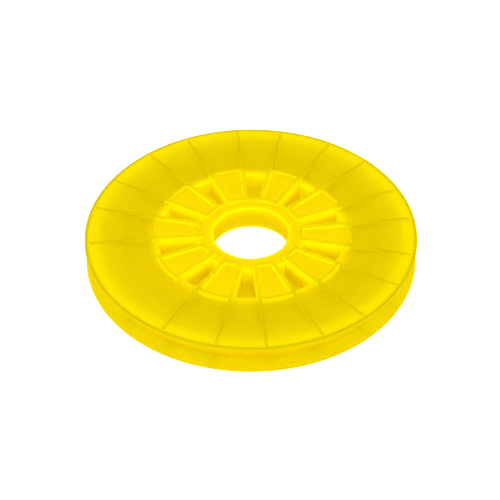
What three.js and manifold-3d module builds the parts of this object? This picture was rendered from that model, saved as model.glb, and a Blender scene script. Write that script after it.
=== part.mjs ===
// A grooved, ribbed plastic disc with a central bore: two ribbed discs are held apart by a hoop
// near the rim and a sleeve in the bore. Each disc has raised trays and deep pockets in turn, and
// the pockets of one disc stand on the backs of the other disc's trays.
// Millimetres, +Z up. The origin is the middle of the face that it rests on, and a tray of the
// upper disc is centred on +X.
import * as THREE from 'three';
import { mergeVertices } from 'three/addons/utils/BufferGeometryUtils.js';
import Module from 'manifold-3d';

const wasm = await Module();
wasm.setup();

// ---- Driving dimensions ----
const discDiameter = 240;
const overallHeight = 22.2;
const boreDiameter = 54.8;         // through the upper disc's lip, its narrowest place

const rimLipWidth = 2;             // narrow raised lip round the outer edge
const rimEdgeThickness = 3.2;
const rimEdgeRadius = 0.9;
const grooveDepth = 10;            // from the rim in to the hoop
const hoopWall = 2.4;
const registerHeight = 2;          // of the ring inside the hoop that centres each flange in it

const floorDropAtLip = 0.5;        // how far the flange floor lies below the rim plane at the lip
const valleyDrop = 5.4;            // and at the bottom of the valley
const floorCurve = 1.8;            // power of the slope between the two
const valleyReach = 5.8;           // from the trays' outer ends out to the bottom of the valley
const flangeWall = 2.2;

const trayCount = 10;
const ribAngle = 9.7;              // degrees from a tray's centre to each of its ribs
const ribWidth = 2.2;
const ribEndGap = 1.8;             // between a rib's outer end and the lip
const trayWithoutRibs = 6;         // this tray of the upper disc has no ribs across the flange
const trayOuterRadius = 72.2;
const trayStep = 0.5;              // from the hub ring out to the trays
const borderWidth = 3.8;           // tray's side borders
const arcBorderWidth = 2.3;        // tray's border at its outer end
const hubBorderWidth = 3.2;        // tray's border at the hub
const trayDepth = 1.8;

const webDrop = 2.6;               // top of the web between the trays, below the rim plane
const webBack = 4.4;               // its back, below the rim plane
const crestInset = 1.4;            // from the trays' outer ends in to the web's outer edge
const pocketWall = 1.8;
const pocketRim = 4.8;             // from the trays' outer ends in to a pocket's outer wall
const ledgeWidth = 4.7;            // from the trays' inner ends out to a pocket's hub wall

const hubRingDrop = 2.2;
const hubRingWidth = 3.6;          // beyond the sleeve's hole
const hubLipThickness = 1.6;       // of the upper disc's lip over the sleeve
const hubLipReach = 0.9;           // how far that lip stands in from the sleeve's bore
const sleeveWall = 2;
const sleeveRecess = 1.1;          // between the sleeve's lower end and the rest face
const skirtWall = 2.3;

// ---- Clearances ----
const restGap = 0.3;               // between faces that rest on each other
const slideGap = 0.4;              // between round pieces that slide together
const nestGap = 0.4;               // between a pocket's floor and the tray back under it

const roundSegments = 60;
const arcSegments = 4;
const slopeSteps = 4;
const cutMargin = 1;               // how far a cutter runs past the face that it cuts

// ---- Sizes worked out from them ----
const discRadius = discDiameter / 2;
const lipInnerRadius = discRadius - rimLipWidth;
const ribEndRadius = lipInnerRadius - ribEndGap;
const hoopOuterRadius = discRadius - grooveDepth;
const hoopInnerRadius = hoopOuterRadius - hoopWall;
const registerOuterRadius = hoopInnerRadius - slideGap;
const registerInnerRadius = registerOuterRadius - ribWidth;
const midPlane = overallHeight / 2;
const hubLipRadius = boreDiameter / 2;
const sleeveInnerRadius = hubLipRadius + hubLipReach;
const sleeveOuterRadius = sleeveInnerRadius + sleeveWall;
const hubHoleRadius = sleeveOuterRadius + slideGap;
const skirtOuterRadius = hubHoleRadius + skirtWall;
const hubRingRadius = hubHoleRadius + hubRingWidth;
const trayInnerRadius = hubRingRadius + trayStep;
const pocketInnerRadius = trayInnerRadius + ledgeWidth;
const pocketOuterRadius = trayOuterRadius - pocketRim;
const crestRadius = trayOuterRadius - crestInset;
const valleyRadius = trayOuterRadius + valleyReach;
const hubLipBack = hubRingDrop + hubLipThickness;
const pocketBack = overallHeight - webBack - nestGap;
const pocketDepth = pocketBack - pocketWall;
const pitch = 360 / trayCount;
const pocketAngle = pitch / 2 - ribAngle;
const pocketBlockRadius = pocketOuterRadius + pocketWall;

const yellowPlastic = { color: 0xf6d401, roughness: 0.45, metalness: 0 };

// ---- Solids ----
function toSolid(geometry) {
  geometry.deleteAttribute('normal');
  geometry.deleteAttribute('uv');
  const merged = mergeVertices(geometry, 1e-4);
  return new wasm.Manifold(new wasm.Mesh({
    numProp: 3,
    vertProperties: new Float32Array(merged.attributes.position.array),
    triVerts: new Uint32Array(merged.index.array),
  }));
}

function toMesh(name, solid) {
  const { vertProperties, triVerts } = solid.getMesh();
  const geometry = new THREE.BufferGeometry();
  geometry.setAttribute('position', new THREE.BufferAttribute(vertProperties, 3));
  geometry.setIndex(new THREE.BufferAttribute(triVerts, 1));
  geometry.computeVertexNormals();
  const mesh = new THREE.Mesh(geometry, new THREE.MeshStandardMaterial(yellowPlastic));
  mesh.name = name;
  return mesh;
}

// A ring turned about Z from [radius, height] points listed clockwise, which close on the first.
function turned(profile) {
  const section = [...profile, profile[0]].reverse();
  const points = section.map(([radius, height]) => new THREE.Vector2(radius, height));
  const geometry = new THREE.LatheGeometry(points, roundSegments);
  geometry.rotateX(Math.PI / 2);
  return toSolid(geometry);
}

// The outline of a sector about +X between two radii. Its sides run along radial lines at
// plus and minus halfAngle, moved towards the middle by inset.
function sectorOutline(innerRadius, outerRadius, halfAngle, inset) {
  const lean = THREE.MathUtils.degToRad(halfAngle);
  const cornerAngle = (radius) => lean - Math.asin(inset / radius);
  const outline = new THREE.Shape();
  addArc(outline, outerRadius, -cornerAngle(outerRadius), cornerAngle(outerRadius));
  addArc(outline, innerRadius, cornerAngle(innerRadius), -cornerAngle(innerRadius));
  outline.closePath();
  return outline;
}

function addArc(outline, radius, from, to) {
  for (let step = 0; step <= arcSegments; step += 1) {
    const angle = from + (to - from) * step / arcSegments;
    const corner = [radius * Math.cos(angle), radius * Math.sin(angle)];
    if (outline.curves.length === 0 && step === 0) outline.moveTo(...corner);
    else outline.lineTo(...corner);
  }
}

// A sector's outline carried from one height up to another.
function sectorBlock(outline, bottom, top) {
  const geometry = new THREE.ExtrudeGeometry(outline, { depth: top - bottom, bevelEnabled: false });
  geometry.translate(0, 0, bottom);
  return toSolid(geometry);
}

function repeated(block, angles) {
  return angles.map((angle) => block.rotate([0, 0, angle]));
}

function joined(solid, blocks) {
  return blocks.reduce((whole, block) => whole.add(block), solid);
}

function cut(solid, blocks) {
  return blocks.reduce((whole, block) => whole.subtract(block), solid);
}

// ---- One ribbed disc, with its rim plane at z = 0 and its back below ----

// Drop of the flange floor below the rim plane, from the valley out to the lip.
function floorDrop(radius) {
  const share = (radius - valleyRadius) / (lipInnerRadius - valleyRadius);
  return floorDropAtLip + (valleyDrop - floorDropAtLip) * (1 - Math.min(Math.max(share, 0), 1)) ** floorCurve;
}

function spread(from, to, steps) {
  return Array.from({ length: steps + 1 }, (_, step) => from + (to - from) * step / steps);
}

// Section through the disc: its front from the hub out to the lip, the rim edge, and its back.
function discProfile(hubPoints) {
  const backSteps = spread(registerInnerRadius, valleyRadius, slopeSteps);
  return [
    [hubRingRadius, -hubRingDrop],
    [hubRingRadius, -webDrop],
    [crestRadius, -webDrop],
    [(crestRadius + valleyRadius) / 2, -(webDrop + valleyDrop) / 2],
    ...spread(valleyRadius, lipInnerRadius, slopeSteps).map((radius) => [radius, -floorDrop(radius)]),
    [lipInnerRadius + floorDropAtLip, 0],
    [discRadius - rimEdgeRadius, 0],
    [discRadius, -rimEdgeRadius],
    [discRadius, rimEdgeRadius - rimEdgeThickness],
    [discRadius - rimEdgeRadius, -rimEdgeThickness],
    [registerOuterRadius, -rimEdgeThickness],
    [registerOuterRadius, -rimEdgeThickness - registerHeight],
    [registerInnerRadius, -rimEdgeThickness - registerHeight],
    ...backSteps.map((radius) => [radius, -floorDrop(radius) - flangeWall]),
    [(crestRadius + valleyRadius) / 2, -(webBack + valleyDrop + flangeWall) / 2],
    [crestRadius, -webBack],
    [skirtOuterRadius, -webBack],
    [skirtOuterRadius, restGap / 2 - midPlane],
    [hubHoleRadius, restGap / 2 - midPlane],
    ...hubPoints,
  ];
}

// The hole's edge: the upper disc has a lip over the sleeve, the lower disc lets it through.
const lippedHub = [
  [hubHoleRadius, -hubLipBack],
  [hubLipRadius, -hubLipBack],
  [hubLipRadius, -hubRingDrop],
];
const openHub = [[hubHoleRadius, -hubRingDrop]];

function rib() {
  const start = trayOuterRadius - arcBorderWidth / 2;
  const foot = spread(ribEndRadius, start, slopeSteps);
  const outline = new THREE.Shape([
    new THREE.Vector2(start, 0),
    new THREE.Vector2(ribEndRadius, 0),
    ...foot.map((radius) => new THREE.Vector2(radius, -ribFoot(radius))),
  ].reverse());
  const geometry = new THREE.ExtrudeGeometry(outline, { depth: ribWidth, bevelEnabled: false });
  geometry.translate(0, 0, -ribWidth / 2);
  geometry.rotateX(Math.PI / 2);
  return toSolid(geometry);
}

// A rib's foot lies half-way through the wall under it.
function ribFoot(radius) {
  if (radius < valleyRadius) return webBack;
  return floorDrop(radius) + flangeWall / 2;
}

// A tray stands up from the web as a solid block, and its floor is cut into it.
function trayBlock() {
  const outline = sectorOutline(trayInnerRadius, trayOuterRadius, ribAngle, -borderWidth / 2);
  return sectorBlock(outline, -webBack, 0);
}

function trayCutter() {
  const innerRadius = trayInnerRadius + hubBorderWidth;
  const outerRadius = trayOuterRadius - arcBorderWidth;
  const outline = sectorOutline(innerRadius, outerRadius, ribAngle, borderWidth / 2);
  return sectorBlock(outline, -trayDepth, cutMargin);
}

// A pocket is a box that hangs from the web, one wall thicker all round than its hollow.
function pocketBlock() {
  const inset = borderWidth / 2 - pocketWall;
  const innerRadius = pocketInnerRadius - pocketWall;
  const outline = sectorOutline(innerRadius, pocketBlockRadius, pocketAngle, inset);
  return sectorBlock(outline, -pocketBack, -webDrop);
}

function pocketCutter() {
  const outline = sectorOutline(pocketInnerRadius, pocketOuterRadius, pocketAngle, borderWidth / 2);
  return sectorBlock(outline, -pocketDepth, cutMargin);
}

// missingRibs is the number of the tray whose ribs are left out, or -1.
function ribbedDisc(hubPoints, missingRibs) {
  const trays = Array.from({ length: trayCount }, (_, index) => index);
  const trayAngles = trays.map((index) => index * pitch);
  const pocketAngles = trayAngles.map((angle) => angle + pitch / 2);
  const ribAngles = trayAngles
    .filter((angle, index) => index !== missingRibs)
    .flatMap((angle) => [angle - ribAngle, angle + ribAngle]);
  let disc = turned(discProfile(hubPoints));
  disc = joined(disc, repeated(pocketBlock(), pocketAngles));
  disc = joined(disc, repeated(trayBlock(), trayAngles));
  disc = joined(disc, repeated(rib(), ribAngles));
  disc = cut(disc, repeated(pocketCutter(), pocketAngles));
  return cut(disc, repeated(trayCutter(), trayAngles));
}

function upperDisc() {
  const mesh = toMesh('upper_disc', ribbedDisc(lippedHub, trayWithoutRibs));
  mesh.position.z = overallHeight;
  return mesh;
}

// The lower disc is turned over and clocked by half a pitch.
function lowerDisc() {
  const mesh = toMesh('lower_disc', ribbedDisc(openHub, -1));
  mesh.rotation.set(Math.PI, 0, THREE.MathUtils.degToRad(pitch / 2));
  return mesh;
}

// A plain band that spaces the two flanges and is the bottom of the rim groove.
function rimHoop() {
  const bottom = rimEdgeThickness + restGap;
  const top = overallHeight - bottom;
  return toMesh('rim_hoop', turned([
    [hoopInnerRadius, bottom],
    [hoopInnerRadius, top],
    [hoopOuterRadius, top],
    [hoopOuterRadius, bottom],
  ]));
}

// A plain bush that lines the bore and stops under the upper disc's lip.
function hubSleeve() {
  const top = overallHeight - hubLipBack - restGap;
  return toMesh('hub_sleeve', turned([
    [sleeveInnerRadius, sleeveRecess],
    [sleeveInnerRadius, top],
    [sleeveOuterRadius, top],
    [sleeveOuterRadius, sleeveRecess],
  ]));
}

const group = new THREE.Group();
group.add(upperDisc(), lowerDisc(), rimHoop(), hubSleeve());

export default group;
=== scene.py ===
"""A grooved, ribbed disc of translucent yellow plastic, on a pale floor in soft light.

Two ribbed discs, a hoop between their flanges and a sleeve in the bore. Each is one closed
surface worked out on a grid, in metres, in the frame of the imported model: +Z up, the disc lying
on z = 0, its bore on the Z axis and a tray of the upper disc centred on +X.
"""

import math

import bpy
import numpy as np
from bpy.props import FloatProperty, IntProperty, PointerProperty, StringProperty
from mathutils import Matrix, Vector


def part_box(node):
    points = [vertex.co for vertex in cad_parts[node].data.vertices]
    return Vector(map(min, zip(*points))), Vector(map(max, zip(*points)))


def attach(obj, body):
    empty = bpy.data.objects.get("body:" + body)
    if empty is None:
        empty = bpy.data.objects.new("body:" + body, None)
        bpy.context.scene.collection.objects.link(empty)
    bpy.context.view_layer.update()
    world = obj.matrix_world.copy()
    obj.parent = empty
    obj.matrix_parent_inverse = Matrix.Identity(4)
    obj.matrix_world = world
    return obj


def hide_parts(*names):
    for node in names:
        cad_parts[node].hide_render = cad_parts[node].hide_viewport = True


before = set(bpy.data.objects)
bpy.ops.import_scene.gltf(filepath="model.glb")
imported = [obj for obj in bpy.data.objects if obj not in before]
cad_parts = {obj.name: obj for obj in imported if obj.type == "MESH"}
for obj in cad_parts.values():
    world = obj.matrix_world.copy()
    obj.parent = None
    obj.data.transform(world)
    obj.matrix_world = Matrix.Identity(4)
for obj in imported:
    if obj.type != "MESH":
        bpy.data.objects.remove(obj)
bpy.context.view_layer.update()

bl_info = {
    "name": "Ribbed Disc",
    "version": (1, 0, 0),
    "blender": (4, 5, 0),
    "location": "View3D > Sidebar > Ribbed Disc",
    "description": "Makes the pieces of a grooved, ribbed plastic disc",
    "category": "Object",
}

MM = 0.001
DISC_LOW, DISC_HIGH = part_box("upper_disc")
HOOP_LOW, HOOP_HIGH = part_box("rim_hoop")
SLEEVE_LOW, SLEEVE_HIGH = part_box("hub_sleeve")
HEIGHT = DISC_HIGH.z

BARE_TRAY = 6  # the upper disc's tray without flange ribs, counted from +X
MARK_ANGLES = (305, 269)  # where ejector pins marked the upper disc's flange, in degrees
FILLET_SHARE = 0.45  # the most of a wall's height that one fillet takes up


# ---------------------------------------------------------------------------------------------
# Sizes and colours that a user may change
# ---------------------------------------------------------------------------------------------

def length(name, description, default_mm):
    return FloatProperty(name=name, description=description, default=default_mm * MM,
                         subtype="DISTANCE", unit="LENGTH", precision=5)


class RibbedDiscSizes(bpy.types.PropertyGroup):
    """Sizes of the moulding. Radii are from the axis, and depths are below the rim plane."""
    tray_count: IntProperty(name="Trays", description="Raised trays round each disc",
                            default=10, min=3)
    rib_angle: FloatProperty(name="Rib angle", description="From a tray's centre to each rib",
                             default=math.radians(9.7), subtype="ANGLE")
    rib_width: length("Rib width", "Across a rib, half-way up", 2.2)
    rib_end_gap: length("Rib end gap", "Between a rib's outer end and the lip", 1.8)
    lip_width: length("Lip width", "The raised lip round the rim", 2.0)
    edge_thickness: length("Edge thickness", "The flange at the rim", 3.2)
    edge_round: length("Edge round", "Radius of the rim's corners", 0.9)
    lip_drop: length("Floor at the lip", "The flange floor's depth at the lip", 0.5)
    valley_drop: length("Valley depth", "The flange floor's depth in the valley", 5.4)
    valley_reach: length("Valley reach", "From the trays' outer ends out to the valley", 5.8)
    flange_wall: length("Flange wall", "Thickness of the flange", 2.2)
    crest_inset: length("Crest inset", "From the trays' outer ends in to the web's crest", 3.4)
    web_drop: length("Web depth", "Top of the web between the trays", 2.6)
    web_back: length("Web back", "Back of the web", 4.4)
    tray_outer: length("Tray outer radius", "A tray's border at its outer end", 72.2)
    tray_step: length("Tray step", "From the hub ring out to the trays", 0.5)
    border_width: length("Border width", "A tray's side borders", 3.8)
    arc_border: length("Arc border", "A tray's border at its outer end", 2.3)
    hub_border: length("Hub border", "A tray's border at the hub", 3.2)
    tray_depth: length("Tray depth", "A tray's floor below its borders", 1.8)
    pocket_rim: length("Pocket rim", "From the trays' outer ends in to a pocket's outer wall", 4.8)
    ledge_width: length("Ledge width", "From the trays' inner ends out to a pocket's hub wall", 4.7)
    pocket_wall: length("Pocket wall", "Thickness of a pocket's walls", 1.8)
    nest_gap: length("Nest gap", "Between a pocket's floor and the tray back under it", 0.4)
    hub_drop: length("Hub ring depth", "The ring round the bore", 2.2)
    hub_ring_width: length("Hub ring width", "Round the bore, beyond the sleeve's hole", 3.6)
    hub_lip: length("Hub lip", "Thickness of the lip over the sleeve", 1.6)
    lip_reach: length("Lip reach", "How far that lip stands in from the sleeve's bore", 0.9)
    mark_radius: length("Mark radius", "From the axis to the middle of an ejector pin's mark", 109)
    mark_size: length("Mark size", "Across an ejector pin's mark", 11.4)
    mark_line: length("Mark line", "Width of the line that an ejector pin leaves", 0.5)
    register_height: length("Register height", "The ring that centres a flange in the hoop", 2.0)
    skirt_wall: length("Skirt wall", "The tube round the sleeve", 2.3)
    sleeve_wall: length("Sleeve wall", "Thickness of the sleeve", 2.0)
    hoop_wall: length("Hoop wall", "Thickness of the hoop", 2.4)
    slide_gap: length("Slide gap", "Between round pieces that slide together", 0.4)
    rest_gap: length("Rest gap", "Between faces that rest on each other", 0.3)
    floor_curve: FloatProperty(name="Floor curve", description="Power of the flange floor's slope",
                               default=1.8)
    edge_break: length("Edge break", "Chamfer on the hidden edges", 0.25)
    line_gap: length("Line gap", "Least distance between two lines of the surface's grid", 0.07)
    fillet: length("Fillet", "Radius at the top and the foot of the moulded walls", 0.4)
    draft: FloatProperty(name="Draft", description="Lean of the moulded walls",
                         default=math.radians(2.5), subtype="ANGLE")


def colour(name, description, default_hex):
    return StringProperty(name=name, description=description, default=default_hex)


class RibbedDiscLook(bpy.types.PropertyGroup):
    """Colours as sRGB hex values, among them painted shade for the discs and the hoop, and the
    strength of the lights.
    """
    plastic: colour("Plastic", "The light that a thin wall gives back", "#FFF700")
    plastic_through: colour("Plastic, light through", "The light that a wall passes", "#FFFB00")
    gloss: colour("Gloss", "Tint of the faint shine", "#FFD800")
    shade_none: colour("Shade, plain", "Multiplies the plastic where nothing darkens it", "#FFFFFF")
    shade_wall: colour("Shade, pocket walls", "Multiplies it on the pockets' walls", "#FFFCFF")
    shade_tray: colour("Shade, trays", "Multiplies it on trays and flanges", "#FCFCFF")
    # Painted shade: ribs and borders seen end on are drawn darker, standing in for the light that
    # thick plastic holds back.
    painted_shade_thick: colour("Shade, ribs", "Multiplies it on ribs and borders seen end on", "#EBE7FF")
    # Painted shade: the valley is drawn darker, as the light fell there.
    painted_shade_valley: colour("Shade, valley", "Multiplies it again in the valley", "#F9F8F9")
    shade_hub: colour("Shade, hub", "Multiplies it again round the bore", "#FFFCFF")
    # Painted shade on the flange, darker again near the rim where light comes in round the edge.
    painted_shade_flange: colour("Shade, flange", "Multiplies it again on the flange", "#F4F3F4")
    painted_shade_outer: colour("Shade, outer flange", "Multiplies it again near the rim", "#F0EEF0")
    # Painted shade on the rims: the upper lip darker, the lower lip lighter for the light that
    # comes up from the floor.
    painted_shade_lip: colour("Shade, upper lip", "Multiplies it again on the upper disc's rim", "#E3DDE3")
    painted_shade_low_lip: colour("Shade, lower lip", "Multiplies it again on the lower rim", "#EFE9EF")
    # Painted shade: the hoop is drawn darker, for the groove under the flange.
    painted_shade_hoop: colour("Shade, hoop", "Multiplies it on the hoop", "#FBF4FF")
    mark: colour("Mark", "Multiplies it on the lines that ejector pins leave", "#D8D4FF")
    cloud: colour("Cloud", "Multiplies it where the pigment is denser", "#FCF6FF")
    floor: colour("Floor", "The floor's colour", "#FFFFFF")
    light_through: FloatProperty(name="Light through", description="Share that a wall passes",
                                 default=0.89, min=0, max=1)
    top_light: FloatProperty(name="Top light", description="Power of the large lamp overhead",
                             default=0.5, unit="POWER")
    floor_glow: FloatProperty(name="Floor glow", description="Light given off by the floor",
                              default=0.35)
    room_light: FloatProperty(name="Room light", description="Strength of the room's even light",
                              default=1.7)


# ---------------------------------------------------------------------------------------------
# The disc's surface
# ---------------------------------------------------------------------------------------------

class Radii:
    """Radii and depths worked out from the sizes. Round the hub they follow the sleeve, further
    out they follow the trays' outer ends and the rim."""

    def __init__(self, s):
        self.lip_inner = DISC_HIGH.x - s.lip_width
        self.rib_end = self.lip_inner - s.rib_end_gap
        self.valley = s.tray_outer + s.valley_reach
        self.crest = s.tray_outer - s.crest_inset
        self.pocket_outer = s.tray_outer - s.pocket_rim
        self.hub_hole = SLEEVE_HIGH.x + s.slide_gap
        self.bore = SLEEVE_HIGH.x - s.sleeve_wall - s.lip_reach
        self.hub_ring = self.hub_hole + s.hub_ring_width
        self.tray_inner = self.hub_ring + s.tray_step
        self.pocket_inner = self.tray_inner + s.ledge_width
        self.skirt = self.hub_hole + s.skirt_wall
        self.register_outer = HOOP_HIGH.x - s.hoop_wall - s.slide_gap
        self.register_inner = self.register_outer - s.rib_width
        self.pocket_back = HEIGHT - s.web_back - s.nest_gap
        self.pocket_depth = self.pocket_back - s.pocket_wall


def fillet_radius(height, s):
    """Radius of the fillets on a moulded wall of that height."""
    return np.minimum(s.fillet, FILLET_SHARE * height)


def wall_run(height, s):
    """How far a moulded wall of that height reaches sideways: two fillets and the draft."""
    return 2 * fillet_radius(height, s) + height * math.tan(s.draft)


def wall_drop(x, height, s):
    """Depth below a moulded wall's top at x out from the wall's middle line.
    A quarter-round fillet at the top, a straight leaning by the draft, and a quarter-round at
    the foot: nothing inside the wall, and the whole height outside it."""
    least = 1e-6 * MM
    height = np.maximum(height, least)
    fillet = fillet_radius(height, s)
    run = wall_run(height, s)
    x = np.clip(x + run / 2, 0, run)
    top = fillet - np.sqrt(np.maximum(fillet ** 2 - np.minimum(x, fillet) ** 2, 0))
    back = np.minimum(run - x, fillet)
    foot = height - fillet + np.sqrt(np.maximum(fillet ** 2 - back ** 2, 0))
    slope = (height - 2 * fillet) / np.maximum(run - 2 * fillet, least)
    straight = fillet + slope * (x - fillet)
    return np.where(x < fillet, top, np.where(x > run - fillet, foot, straight))


def smooth(t):
    """0 to 1 along a smooth step."""
    t = np.clip(t, 0, 1)
    return t * t * (3 - 2 * t)


def valley_rise(r, k):
    """0 in the valley to 1 at the crest of the web, along a smooth step."""
    return smooth((k.valley - r) / (k.valley - k.crest))


def flange_floor(r, s, k):
    """Depth of the flange floor: a power of the way in from the lip, and below the valley a
    smooth step back up to the crest of the web."""
    share = np.clip((r - k.valley) / (k.lip_inner - k.valley), 0, 1)
    outer = s.lip_drop + (s.valley_drop - s.lip_drop) * (1 - share) ** s.floor_curve
    return outer - (s.valley_drop - s.web_drop) * valley_rise(r, k)


def rounded_outside(across, along, radius):
    """Distance outside a corner of that radius, from the distances past its two edges."""
    a = across + radius
    b = along + radius
    corner = np.hypot(np.maximum(a, 0), np.maximum(b, 0))
    return np.where((a > 0) & (b > 0), corner, np.maximum(a, b)) - radius


def front_drop(r, across, angle, s, k, bare_tray):
    """Depth of the disc's front at radius r. across is the distance past the nearest rib's line,
    towards the pocket. The web and the flange are turned, with a trench round them as deep as
    the pockets. Trays and ribs stand up from that to the rim plane, and each tray's floor is cut
    into its block."""
    base = flange_floor(r, s, k)
    hub = s.hub_drop + wall_drop(r - k.hub_ring, s.web_drop - s.hub_drop, s)
    base = np.where(r < k.hub_ring, hub, base)
    lip = wall_drop(k.lip_inner - r, s.lip_drop, s)
    base = np.where(r > k.lip_inner - s.lip_width / 2, lip, base)
    into_trench = np.minimum(r - k.pocket_inner, k.pocket_outer - r)
    floor = base + wall_drop(into_trench, k.pocket_depth - base, s)

    corner = s.fillet * 2
    past_tray = np.maximum(r - s.tray_outer, k.tray_inner - r)
    tray = wall_drop(rounded_outside(across - s.border_width / 2, past_tray, corner), floor, s)
    past_rib = np.maximum(r - k.rib_end, k.crest - r)
    rib = wall_drop(np.maximum(np.abs(across) - s.rib_width / 2, past_rib), floor, s)
    pitch = 2 * math.pi / s.tray_count
    rib = np.where(np.round(angle / pitch) % s.tray_count == bare_tray, floor, rib)
    drop = np.minimum(np.minimum(floor, tray), rib)

    recess_ends = np.minimum(r - k.tray_inner - s.hub_border, s.tray_outer - s.arc_border - r)
    into_recess = -rounded_outside(across + s.border_width / 2, -recess_ends, corner)
    return np.maximum(drop, wall_drop(into_recess, s.tray_depth, s))


def back_drop(r, across, s, k):
    """Depth of the disc's back: the flange and web one wall behind the front, and the pockets'
    boxes hanging from it."""
    valley_back = s.valley_drop + s.flange_wall
    inner = valley_back - (valley_back - s.web_back) * valley_rise(r, k)
    web = np.where(r > k.valley, flange_floor(r, s, k) + s.flange_wall, inner)
    inside = np.minimum(r - k.pocket_inner, k.pocket_outer - r)
    inside = np.minimum(inside, across - s.border_width / 2) + s.pocket_wall
    return web + wall_drop(inside, k.pocket_back - web, s)


def wall_lines(middle, height, s, steps):
    """Grid lines across a wall: close together over its two fillets."""
    half = float(wall_run(height, s)) / 2
    fillet = float(fillet_radius(height, s))
    near = half - fillet + fillet * np.sin(np.linspace(0, math.pi / 2, steps + 1))
    return middle + np.concatenate([-near[::-1], near])


def thinned(lines, least):
    """The lines in order, without any closer than least to the one before."""
    lines = np.sort(np.concatenate([np.atleast_1d(line) for line in lines]))
    kept = [lines[0]]
    for line in lines[1:]:
        if line - kept[-1] > least:
            kept.append(line)
    return np.array(kept)


def sector_columns(across, s):
    """Column families over one pitch, from a pocket's middle past a tray to the next pocket's.
    A column is a line at angle a and a distance d to the side of it, so its angle at radius r is
    a + asin(d / r). It returns both for each column."""
    pitch = 2 * math.pi / s.tray_count
    side = s.rib_angle
    between = 3
    blend = np.linspace(0, 1, between + 2)[1:-1]
    tray_a, tray_d = side * blend, across[0] * blend
    pocket_a, pocket_d = side + (pitch / 2 - side) * blend, across[-1] * (1 - blend)
    a = np.concatenate([[0], tray_a, np.full(len(across), side), pocket_a])
    d = np.concatenate([[0], tray_d, across, pocket_d])
    half_pitch = [-pitch / 2]
    a = np.concatenate([half_pitch, -a[:0:-1], a])
    d = np.concatenate([[0], -d[:0:-1], d])
    return a, d


def closed_grid(name, points):
    """A mesh from a grid of points, rows by columns by xyz, that closes on itself both ways."""
    rows, columns = points.shape[:2]
    index = np.arange(rows * columns).reshape(rows, columns)
    right = np.roll(index, -1, axis=1)
    up = np.roll(index, -1, axis=0)
    corner = np.roll(right, -1, axis=0)
    quads = np.stack([index, up, corner, right], axis=-1).reshape(-1, 4)
    mesh = bpy.data.meshes.new(name)
    mesh.vertices.add(rows * columns)
    mesh.vertices.foreach_set("co", points.reshape(-1).astype(np.float32))
    mesh.loops.add(quads.size)
    mesh.loops.foreach_set("vertex_index", quads.reshape(-1).astype(np.int32))
    mesh.polygons.add(len(quads))
    mesh.polygons.foreach_set("loop_start", np.arange(0, quads.size, 4, dtype=np.int32))
    mesh.update(calc_edges=True)
    mesh.validate()
    mesh.shade_smooth()
    piece = bpy.data.objects.new(name, mesh)
    bpy.context.collection.objects.link(piece)
    return piece


def across_lines(s, k):
    """Distances across a rib's line for the grid's columns, on the front and on the back: close
    together over the walls there, and as many on both sides."""
    half_border = s.border_width / 2
    half_rib = s.rib_width / 2
    front = thinned([
        wall_lines(-half_border, s.tray_depth, s, 2),
        wall_lines(-half_rib, s.web_drop, s, 2),
        [0.0],
        wall_lines(half_rib, s.web_drop, s, 2),
        wall_lines(half_border, k.pocket_depth, s, 2),
        [half_border],
    ], s.line_gap)
    wall = wall_lines(half_border - s.pocket_wall, k.pocket_depth, s, 2)
    spare = len(front) - len(wall)
    back = np.concatenate([
        np.linspace(front[0] - s.fillet, wall[0], spare // 2 + 1)[:-1],
        wall,
        np.linspace(wall[-1], front[-1] + s.fillet, spare - spare // 2 + 1)[1:],
    ])
    return front, back


def front_radii(s, k):
    """Radii of the rows over the front, close together over the walls."""
    valley_end = k.valley + s.valley_reach * 1.5
    return thinned([
        [k.bore + s.fillet, (k.bore + k.hub_ring) / 2],
        wall_lines(k.hub_ring, s.web_drop - s.hub_drop, s, 1),
        wall_lines(k.tray_inner, s.web_drop, s, 2),
        wall_lines(k.tray_inner + s.hub_border, s.tray_depth, s, 2),
        wall_lines(k.pocket_inner, k.pocket_depth, s, 2),
        np.linspace(k.pocket_inner, k.pocket_outer, 8)[1:-1],
        wall_lines(k.pocket_outer, k.pocket_depth, s, 2),
        wall_lines(s.tray_outer - s.arc_border, s.tray_depth, s, 2),
        wall_lines(s.tray_outer, s.web_drop, s, 2),
        np.linspace(s.tray_outer, valley_end, 11)[1:],
        np.linspace(valley_end, k.rib_end - s.fillet * 2, 9)[1:],
        wall_lines(k.rib_end, s.lip_drop, s, 2),
        wall_lines(k.lip_inner, s.lip_drop, s, 2),
    ], s.line_gap)


def back_radii(s, k):
    """Radii of the rows over the back, from the register in to the skirt."""
    return thinned([
        np.linspace(k.valley, k.register_inner, 6),
        np.linspace(k.crest, k.valley, 7)[:-1],
        wall_lines(k.pocket_outer + s.pocket_wall, k.pocket_depth, s, 1),
        np.linspace(k.pocket_inner, k.pocket_outer, 4),
        wall_lines(k.pocket_inner - s.pocket_wall, k.pocket_depth, s, 1),
        [k.skirt],
    ], s.line_gap)[::-1]


def rim_section(s, k):
    """(radius, z) points round the rim's edge and over the register ring behind it."""
    outer, e, c = DISC_HIGH.x, s.edge_round, s.edge_break
    turn = np.linspace(0, math.pi / 2, 5)
    top = [(outer - e + e * math.sin(t), -e + e * math.cos(t)) for t in turn]
    low = [(outer - e + e * math.cos(t), -s.edge_thickness + e - e * math.sin(t)) for t in turn]
    back = -s.edge_thickness
    foot = back - s.register_height
    register = [
        (k.register_outer + c, back), (k.register_outer, back - c),
        (k.register_outer, foot + c), (k.register_outer - c, foot),
        (k.register_inner + c, foot), (k.register_inner, foot + c),
    ]
    return top + low + register


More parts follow.
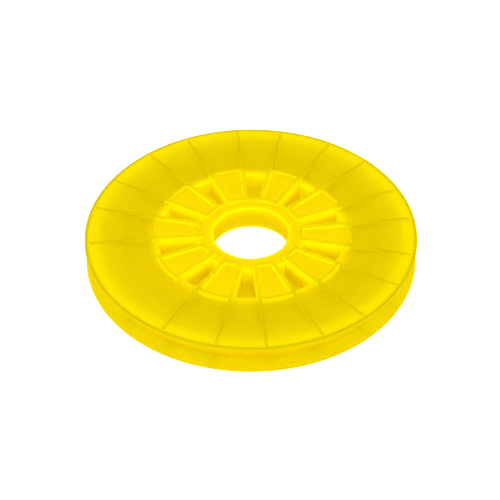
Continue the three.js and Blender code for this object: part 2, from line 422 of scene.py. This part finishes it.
def hub_section(s, k, open_hub):
    """(radius, z) points down the skirt, up inside it and over the lip if there is one. The top
    edge is a fillet with one point between its ends."""
    low, c, f = s.rest_gap / 2 - HEIGHT / 2, s.edge_break, s.fillet
    between = 0.3 * f
    skirt = [(k.skirt, low + c), (k.skirt - c, low), (k.hub_hole + c, low), (k.hub_hole, low + c)]
    top = -s.hub_drop
    if open_hub:
        return skirt + [(k.hub_hole, top - f), (k.hub_hole + between, top - between),
                        (k.hub_hole + f, top)]
    under = top - s.hub_lip
    return skirt + [(k.hub_hole, under), (k.bore + c, under), (k.bore, under + c),
                    (k.bore, top - f), (k.bore + between, top - between)]


def disc_points(s, open_hub, bare_tray):
    """The whole skin of a ribbed disc with its rim plane at z = 0 and its back below.
    Rows run out over the front, round the rim, in along the back and up through the hub, and
    close on the first. Columns follow the ribs' lines, so that walls fall on grid lines, and
    cross over from the front's lines to the back's round the rim and the hub."""
    k = Radii(s)
    front_across, back_across = across_lines(s, k)
    angle, front_d = sector_columns(front_across, s)
    _, back_d = sector_columns(back_across, s)
    pitch = 2 * math.pi / s.tray_count
    start = np.repeat(np.arange(s.tray_count) * pitch, len(angle))
    angle, front_d, back_d = (np.tile(v, s.tray_count) for v in (angle, front_d, back_d))

    def columns(r, mix):
        """Angle of each column at radius r, and its distance past the nearest rib's line."""
        local = angle + np.arcsin((front_d + (back_d - front_d) * mix) / r)
        return local + start, r * np.sin(np.abs(local) - s.rib_angle)

    rows = []
    for r in front_radii(s, k)[2 if open_hub else 0:]:
        around, across = columns(r, 0)
        z = -front_drop(r, across, around, s, k, bare_tray)
        rows.append((np.full_like(around, r), around, z))
    rim = rim_section(s, k)
    for (r, z), mix in zip(rim, np.linspace(0, 1, len(rim))):
        rows.append((np.full_like(angle, r), columns(r, mix)[0], np.full_like(angle, z)))
    for r in back_radii(s, k):
        around, across = columns(r, 1)
        rows.append((np.full_like(around, r), around, -back_drop(r, across, s, k)))
    hub = hub_section(s, k, open_hub)
    for (r, z), mix in zip(hub, np.linspace(1, 0, len(hub))):
        rows.append((np.full_like(angle, r), columns(r, mix)[0], np.full_like(angle, z)))
    r, around, z = (np.stack(v) for v in zip(*rows))
    return np.stack([r * np.cos(around), r * np.sin(around), z], axis=-1)


def ring_points(section, columns=240):
    """A ring turned from a closed section of (radius, height) points."""
    section = np.array(section)
    around = np.linspace(0, 2 * math.pi, columns, endpoint=False)
    r = np.repeat(section[:, :1], columns, axis=1)
    z = np.repeat(section[:, 1:], columns, axis=1)
    return np.stack([r * np.cos(around), r * np.sin(around), z], axis=-1)


def band_section(inner, outer, low, high, corner):
    """A tube's wall in section, with a quarter-round at each corner."""
    turn = np.linspace(0, math.pi / 2, 4)
    section = []
    for r, z, from_angle in ((inner, low, math.pi), (outer, low, 1.5 * math.pi), (outer, high, 0),
                             (inner, high, 0.5 * math.pi)):
        centre_r = r + (corner if r == inner else -corner)
        centre_z = z + (corner if z == low else -corner)
        section += [(centre_r + corner * math.cos(t), centre_z + corner * math.sin(t))
                    for t in turn + from_angle]
    return section[::-1]


# ---------------------------------------------------------------------------------------------
# Materials
# ---------------------------------------------------------------------------------------------

def linear(hex_colour):
    """An sRGB hex colour as linear RGBA."""
    parts = [int(hex_colour[i:i + 2], 16) / 255 for i in (1, 3, 5)]
    return [p / 12.92 if p <= 0.04045 else ((p + 0.055) / 1.055) ** 2.4 for p in parts] + [1.0]


def node(tree, kind, settings=None, values=None, links=None):
    """Adds a node, with its settings, its inputs' values and the sockets that feed its inputs."""
    made = tree.nodes.new(kind)
    for key, value in (settings or {}).items():
        setattr(made, key, value)
    for key, value in (values or {}).items():
        made.inputs[key].default_value = value
    for key, socket in (links or {}).items():
        tree.links.new(socket, made.inputs[key])
    return made


def colour_ramp(tree, share, stops):
    """A ramp of sRGB hex colours against a value from 0 to 1."""
    ramp = node(tree, "ShaderNodeValToRGB", links={"Fac": share})
    elements = ramp.color_ramp.elements
    elements.remove(elements[1])
    elements[0].position, elements[0].color = stops[0][0], linear(stops[0][1])
    for position, hex_colour in stops[1:]:
        elements.new(position).color = linear(hex_colour)
    return ramp.outputs[0]


def multiplied(tree, first, second, share=None):
    """The first colour multiplied by the second, fully or to the extent of the share socket."""
    links = {6: first, 7: second}
    if share:
        links[0] = share
    mix = node(tree, "ShaderNodeMix", {"data_type": "RGBA", "blend_type": "MULTIPLY"},
               {0: 1.0}, links)
    return mix.outputs[2]


def floor_depth(tree, radius, s, k):
    """The flange floor's depth at a radius, as flange_floor has it: a power of the way in from the
    lip, less a smooth step from the valley up to the crest of the web."""
    inward = node(tree, "ShaderNodeMapRange",
                  values={"From Min": k.lip_inner, "From Max": k.valley}, links={"Value": radius})
    curve = node(tree, "ShaderNodeMath", {"operation": "POWER"}, {1: s.floor_curve},
                 {0: inward.outputs[0]})
    outer = node(tree, "ShaderNodeMath", {"operation": "MULTIPLY_ADD"},
                 {1: s.valley_drop - s.lip_drop, 2: s.lip_drop}, {0: curve.outputs[0]})
    rise = node(tree, "ShaderNodeMapRange", {"interpolation_type": "SMOOTHSTEP"},
                {"From Min": k.valley, "From Max": k.crest, "To Max": s.valley_drop - s.web_drop},
                {"Value": radius})
    return node(tree, "ShaderNodeMath", {"operation": "SUBTRACT"},
                links={0: outer.outputs[0], 1: rise.outputs[0]}).outputs[0]


def painted_disc_shade(tree, place, look, s, rim_plane, back_way, painted_lip_shade):
    """Painted shade: how much darker the plastic is drawn where it is thick, standing in for the
    light that thick plastic holds back. It goes by the depth below the disc's rim plane, back_way
    being the sign of z that depth grows along: borders seen end on, then trays and flange, then
    thin upright walls. Ribs that stand up from the flange floor have the borders' painted shade.
    Outward of the trays it also goes by the radius, painted shade for how the light fell: the
    valley and the lip are darkest."""
    height = node(tree, "ShaderNodeSeparateXYZ", links={"Vector": place}).outputs["Z"]
    deepest = 10 * MM
    border_top, border_foot, wall_top = 0.32 * MM, 0.48 * MM, 5.5 * MM
    rib_foot, rib_top = 0.2 * MM, 0.6 * MM
    depth = node(tree, "ShaderNodeMapRange", {"clamp": False}, {
        "From Min": rim_plane, "From Max": rim_plane + back_way * deepest, "To Max": deepest},
        {"Value": height}).outputs[0]
    share = node(tree, "ShaderNodeMath", {"operation": "DIVIDE"}, {1: deepest}, {0: depth})
    # Painted shade by depth: darker where the plastic is thick.
    shade = colour_ramp(tree, share.outputs[0], [
        (border_top / deepest, look.painted_shade_thick), (border_foot / deepest, look.shade_tray),
        (wall_top / deepest, look.shade_tray), (1.0, look.shade_wall)])
    flat = node(tree, "ShaderNodeVectorMath", {"operation": "MULTIPLY"}, {1: (1, 1, 0)}, {0: place})
    radius = node(tree, "ShaderNodeVectorMath", {"operation": "LENGTH"},
                  links={0: flat.outputs[0]}).outputs["Value"]
    rim, k = DISC_HIGH.x, Radii(s)
    # Painted shade on ribs that stand up from the flange floor.
    above = node(tree, "ShaderNodeMath", {"operation": "SUBTRACT"},
                 links={0: floor_depth(tree, radius, s, k), 1: depth})
    standing = node(tree, "ShaderNodeMapRange", values={"From Min": rib_foot, "From Max": rib_top},
                    links={"Value": above.outputs[0]})
    outside = node(tree, "ShaderNodeMath", {"operation": "GREATER_THAN"},
                   {1: s.tray_outer + s.fillet}, {0: radius})
    rib = node(tree, "ShaderNodeMath", {"operation": "MULTIPLY"},
               links={0: standing.outputs[0], 1: outside.outputs[0]})
    shade = node(tree, "ShaderNodeMix", {"data_type": "RGBA"}, {7: linear(look.painted_shade_thick)},
                 {0: rib.outputs[0], 6: shade}).outputs[2]
    outward = node(tree, "ShaderNodeMath", {"operation": "DIVIDE"}, {1: rim}, {0: radius})
    slope = (k.crest + k.valley) / 2
    flange_inner, flange_outer = 0.75, 0.88
    # Painted shade by radius outward of the trays, for how the light fell; round the bore a
    # slightly deeper tone.
    by_radius = colour_ramp(tree, outward.outputs[0], [
        (k.hub_ring / rim, look.shade_hub), (k.tray_inner / rim, look.shade_none),
        (k.pocket_outer / rim, look.shade_none), (slope / rim, look.painted_shade_valley),
        (k.valley / rim, look.painted_shade_valley), (flange_inner, look.painted_shade_flange),
        (flange_outer, look.painted_shade_flange), (k.rib_end / rim, look.painted_shade_outer),
        (k.lip_inner / rim, painted_lip_shade)])
    return multiplied(tree, shade, by_radius)


def mark_line(tree, place, s, degrees):
    """1 on the round line that an ejector pin left on the flange at that angle, 0 elsewhere."""
    angle = math.radians(degrees)
    centre = (s.mark_radius * math.cos(angle), s.mark_radius * math.sin(angle), HEIGHT)
    away = node(tree, "ShaderNodeVectorMath", {"operation": "DISTANCE"}, {1: centre}, {0: place})
    return node(tree, "ShaderNodeMath", {"operation": "COMPARE"},
                {1: s.mark_size / 2, 2: s.mark_line / 2}, {0: away.outputs["Value"]}).outputs[0]


def moulded_polyethylene(name, context, uniform_shade=None, rim_plane=None, back_way=-1,
                         painted_lip_shade=None, marks=()):
    """Low-density polyethylene, injection moulded in a mould with a fine spark-eroded finish.
    Walls pass most of the light that falls on them, so that the whole moulding glows. Their colour
    carries painted shade: darker where the plastic is thick, in the valley, on the rims and on the
    hoop in the groove, standing in for how the light falls and passes through. The melt left the
    pigment slightly cloudy. The grain of the finish is drawn coarser than such a finish is, so that
    it shows."""
    cloud_size, grain_size, grain_height = 35 * MM, 1.2 * MM, 0.05 * MM
    look, s = context.scene.ribbed_disc_look, context.scene.ribbed_disc_sizes
    material = bpy.data.materials.new(name)
    material.use_nodes = True
    tree = material.node_tree
    tree.nodes.clear()
    place = node(tree, "ShaderNodeTexCoord").outputs["Object"]
    cloud = node(tree, "ShaderNodeTexNoise", links={"Vector": place},
                 values={"Scale": 1 / cloud_size, "Detail": 3.0, "Roughness": 0.55})
    grain = node(tree, "ShaderNodeTexNoise", values={"Scale": 1 / grain_size, "Detail": 2.0},
                 links={"Vector": place})
    bump = node(tree, "ShaderNodeBump", values={"Strength": 0.12, "Distance": grain_height},
                links={"Height": grain.outputs["Fac"]})
    rough = node(tree, "ShaderNodeMapRange", values={"To Min": 0.38, "To Max": 0.5},
                 links={"Value": cloud.outputs["Fac"]})
    cloud_colour, plastic, passed = (node(tree, "ShaderNodeRGB") for _ in range(3))
    cloud_colour.outputs[0].default_value = linear(look.cloud)
    plastic.outputs[0].default_value = linear(look.plastic)
    passed.outputs[0].default_value = linear(look.plastic_through)
    back, front = passed.outputs[0], plastic.outputs[0]
    if rim_plane is None:
        shade = node(tree, "ShaderNodeRGB").outputs[0]
        shade.default_value = linear(uniform_shade)
    else:
        shade = painted_disc_shade(tree, place, look, s, rim_plane, back_way, painted_lip_shade)
    back, front = multiplied(tree, back, shade), multiplied(tree, front, shade)
    front = multiplied(tree, front, cloud_colour.outputs[0], cloud.outputs["Fac"])
    for degrees in marks:
        mark = node(tree, "ShaderNodeRGB").outputs[0]
        mark.default_value = linear(look.mark)
        front = multiplied(tree, front, mark, mark_line(tree, place, s, degrees))
    face = node(tree, "ShaderNodeBsdfPrincipled", values={
        "IOR": 1.51,
        "Specular IOR Level": 0.1,
        "Specular Tint": linear(look.gloss),
    }, links={"Base Color": front, "Roughness": rough.outputs[0], "Normal": bump.outputs[0]})
    through = node(tree, "ShaderNodeBsdfTranslucent",
                   links={"Color": back, "Normal": bump.outputs[0]})
    both = node(tree, "ShaderNodeMixShader", values={0: look.light_through},
                links={1: face.outputs[0], 2: through.outputs[0]})
    node(tree, "ShaderNodeOutputMaterial", links={"Surface": both.outputs[0]})
    return material


def floor_paper(look):
    """White studio paper lit from all round: plain, matt and a little brighter than white."""
    material = bpy.data.materials.new("white_paper")
    material.use_nodes = True
    tree = material.node_tree
    tree.nodes.clear()
    shader = node(tree, "ShaderNodeBsdfPrincipled", values={
        "Base Color": linear(look.floor),
        "Roughness": 0.9,
        "Specular IOR Level": 0.0,
        "Emission Color": linear(look.floor),
        "Emission Strength": look.floor_glow,
    })
    node(tree, "ShaderNodeOutputMaterial", links={"Surface": shader.outputs[0]})
    return material


def finished(piece, material, replaced):
    """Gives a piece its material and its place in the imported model."""
    piece.data.materials.append(material)
    even = piece.modifiers.new("even_normals", "WEIGHTED_NORMAL")
    even.mode = "FACE_AREA"
    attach(piece, "root")
    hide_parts(replaced)
    return piece


# ---------------------------------------------------------------------------------------------
# Operators
# ---------------------------------------------------------------------------------------------

class RIBBED_DISC_OT_upper(bpy.types.Operator):
    """Adds the upper disc, with a lip in its bore and one tray without flange ribs"""
    bl_idname = "ribbed_disc.upper"
    bl_label = "Upper Disc"

    def execute(self, context):
        s, look = context.scene.ribbed_disc_sizes, context.scene.ribbed_disc_look
        points = disc_points(s, open_hub=False, bare_tray=BARE_TRAY)
        points[..., 2] += HEIGHT
        piece = closed_grid("upper_disc_moulding", points)
        material = moulded_polyethylene("moulded_polyethylene_upper", context, rim_plane=HEIGHT,
                                        painted_lip_shade=look.painted_shade_lip, marks=MARK_ANGLES)
        finished(piece, material, "upper_disc")
        return {"FINISHED"}


class RIBBED_DISC_OT_lower(bpy.types.Operator):
    """Adds the lower disc: the same moulding turned over and clocked by half a pitch"""
    bl_idname = "ribbed_disc.lower"
    bl_label = "Lower Disc"

    def execute(self, context):
        s, look = context.scene.ribbed_disc_sizes, context.scene.ribbed_disc_look
        points = disc_points(s, open_hub=True, bare_tray=-1)
        clock = Matrix.Rotation(math.pi, 3, "X") @ Matrix.Rotation(math.pi / s.tray_count, 3, "Z")
        points = points @ np.array(clock).T
        piece = closed_grid("lower_disc_moulding", points)
        # The lower rim's painted shade is lighter than the upper rim's, for the light that comes up
        # from the floor.
        material = moulded_polyethylene("moulded_polyethylene_lower", context, rim_plane=0,
                                        back_way=1, painted_lip_shade=look.painted_shade_low_lip)
        finished(piece, material, "lower_disc")
        return {"FINISHED"}


class RIBBED_DISC_OT_hoop(bpy.types.Operator):
    """Adds the hoop between the flanges, the bottom of the rim groove"""
    bl_idname = "ribbed_disc.hoop"
    bl_label = "Rim Hoop"

    def execute(self, context):
        s = context.scene.ribbed_disc_sizes
        section = band_section(HOOP_HIGH.x - s.hoop_wall, HOOP_HIGH.x, HOOP_LOW.z, HOOP_HIGH.z,
                               s.fillet)
        piece = closed_grid("rim_hoop_band", ring_points(section))
        # The hoop's colour carries painted shade, for the groove under the flange.
        shade = context.scene.ribbed_disc_look.painted_shade_hoop
        material = moulded_polyethylene("moulded_polyethylene_hoop", context, uniform_shade=shade)
        finished(piece, material, "rim_hoop")
        return {"FINISHED"}


class RIBBED_DISC_OT_sleeve(bpy.types.Operator):
    """Adds the sleeve that lines the bore"""
    bl_idname = "ribbed_disc.sleeve"
    bl_label = "Hub Sleeve"

    def execute(self, context):
        s = context.scene.ribbed_disc_sizes
        section = band_section(SLEEVE_HIGH.x - s.sleeve_wall, SLEEVE_HIGH.x, SLEEVE_LOW.z,
                               SLEEVE_HIGH.z, s.fillet)
        piece = closed_grid("hub_sleeve_bush", ring_points(section))
        shade = context.scene.ribbed_disc_look.shade_none
        material = moulded_polyethylene("moulded_polyethylene_sleeve", context, uniform_shade=shade)
        finished(piece, material, "hub_sleeve")
        return {"FINISHED"}


class RIBBED_DISC_OT_stage(bpy.types.Operator):
    """Adds the floor, the lights and the camera"""
    bl_idname = "ribbed_disc.stage"
    bl_label = "Stage"

    def execute(self, context):
        look = context.scene.ribbed_disc_look
        side, low = 6.0, -0.05 * MM
        corners = [(-side, -side, low), (side, -side, low), (side, side, low), (-side, side, low)]
        mesh = bpy.data.meshes.new("floor")
        mesh.from_pydata(corners, [], [(0, 1, 2, 3)])
        floor = bpy.data.objects.new("floor", mesh)
        mesh.materials.append(floor_paper(look))
        context.collection.objects.link(floor)

        lamp = bpy.data.lights.new("top_light", "AREA")
        lamp.shape = "DISK"
        lamp.size = 1.6
        lamp.energy = look.top_light
        lamp_object = bpy.data.objects.new("top_light", lamp)
        lamp_object.location = (0.1, 0.25, 1.5)
        aim = Vector((0, 0, 0)) - lamp_object.location
        lamp_object.rotation_euler = aim.to_track_quat("-Z", "Y").to_euler()
        context.collection.objects.link(lamp_object)

        world = bpy.data.worlds.new("room")
        world.use_nodes = True
        world.node_tree.nodes["Background"].inputs["Color"].default_value = (1, 1, 1, 1)
        world.node_tree.nodes["Background"].inputs["Strength"].default_value = look.room_light
        context.scene.world = world
        context.scene.view_settings.view_transform = "Standard"

        camera = bpy.data.cameras.new("camera")
        camera.lens = 112.8
        camera.sensor_width = 36
        camera.clip_end = 20
        camera_object = bpy.data.objects.new("camera", camera)
        radius = DISC_HIGH.x
        heading = Matrix.Rotation(math.radians(3.33), 4, "Z")
        offset = heading @ Vector((-0.0056, -7.088, 6.221)) * radius
        tilt = Matrix.Rotation(math.radians(90 - 41.99), 4, "X")
        roll = Matrix.Rotation(math.radians(-0.256), 4, "Z")
        place = Matrix.Translation(Vector((0, 0, HEIGHT)) + offset)
        camera_object.matrix_world = place @ heading @ tilt @ roll
        context.collection.objects.link(camera_object)
        context.scene.camera = camera_object
        return {"FINISHED"}


class RIBBED_DISC_PT_panel(bpy.types.Panel):
    """Lists the operators and the sizes"""
    bl_label = "Ribbed Disc"
    bl_idname = "RIBBED_DISC_PT_panel"
    bl_space_type = "VIEW_3D"
    bl_region_type = "UI"
    bl_category = "Ribbed Disc"

    def draw(self, context):
        for operator in OPERATORS:
            self.layout.operator(operator.bl_idname)
        for group in (context.scene.ribbed_disc_sizes, context.scene.ribbed_disc_look):
            box = self.layout.box()
            for name in group.bl_rna.properties.keys():
                if name not in ("rna_type", "name"):
                    box.prop(group, name)


GROUPS = (RibbedDiscSizes, RibbedDiscLook)
OPERATORS = (RIBBED_DISC_OT_upper, RIBBED_DISC_OT_lower, RIBBED_DISC_OT_hoop, RIBBED_DISC_OT_sleeve,
             RIBBED_DISC_OT_stage)


def register():
    for cls in (*GROUPS, *OPERATORS, RIBBED_DISC_PT_panel):
        bpy.utils.register_class(cls)
    bpy.types.Scene.ribbed_disc_sizes = PointerProperty(type=RibbedDiscSizes)
    bpy.types.Scene.ribbed_disc_look = PointerProperty(type=RibbedDiscLook)


def unregister():
    del bpy.types.Scene.ribbed_disc_look
    del bpy.types.Scene.ribbed_disc_sizes
    for cls in reversed((*GROUPS, *OPERATORS, RIBBED_DISC_PT_panel)):
        bpy.utils.unregister_class(cls)


def main():
    register()
    bpy.ops.ribbed_disc.upper()
    bpy.ops.ribbed_disc.lower()
    bpy.ops.ribbed_disc.hoop()
    bpy.ops.ribbed_disc.sleeve()
    bpy.ops.ribbed_disc.stage()


if __name__ == "__main__":
    main()
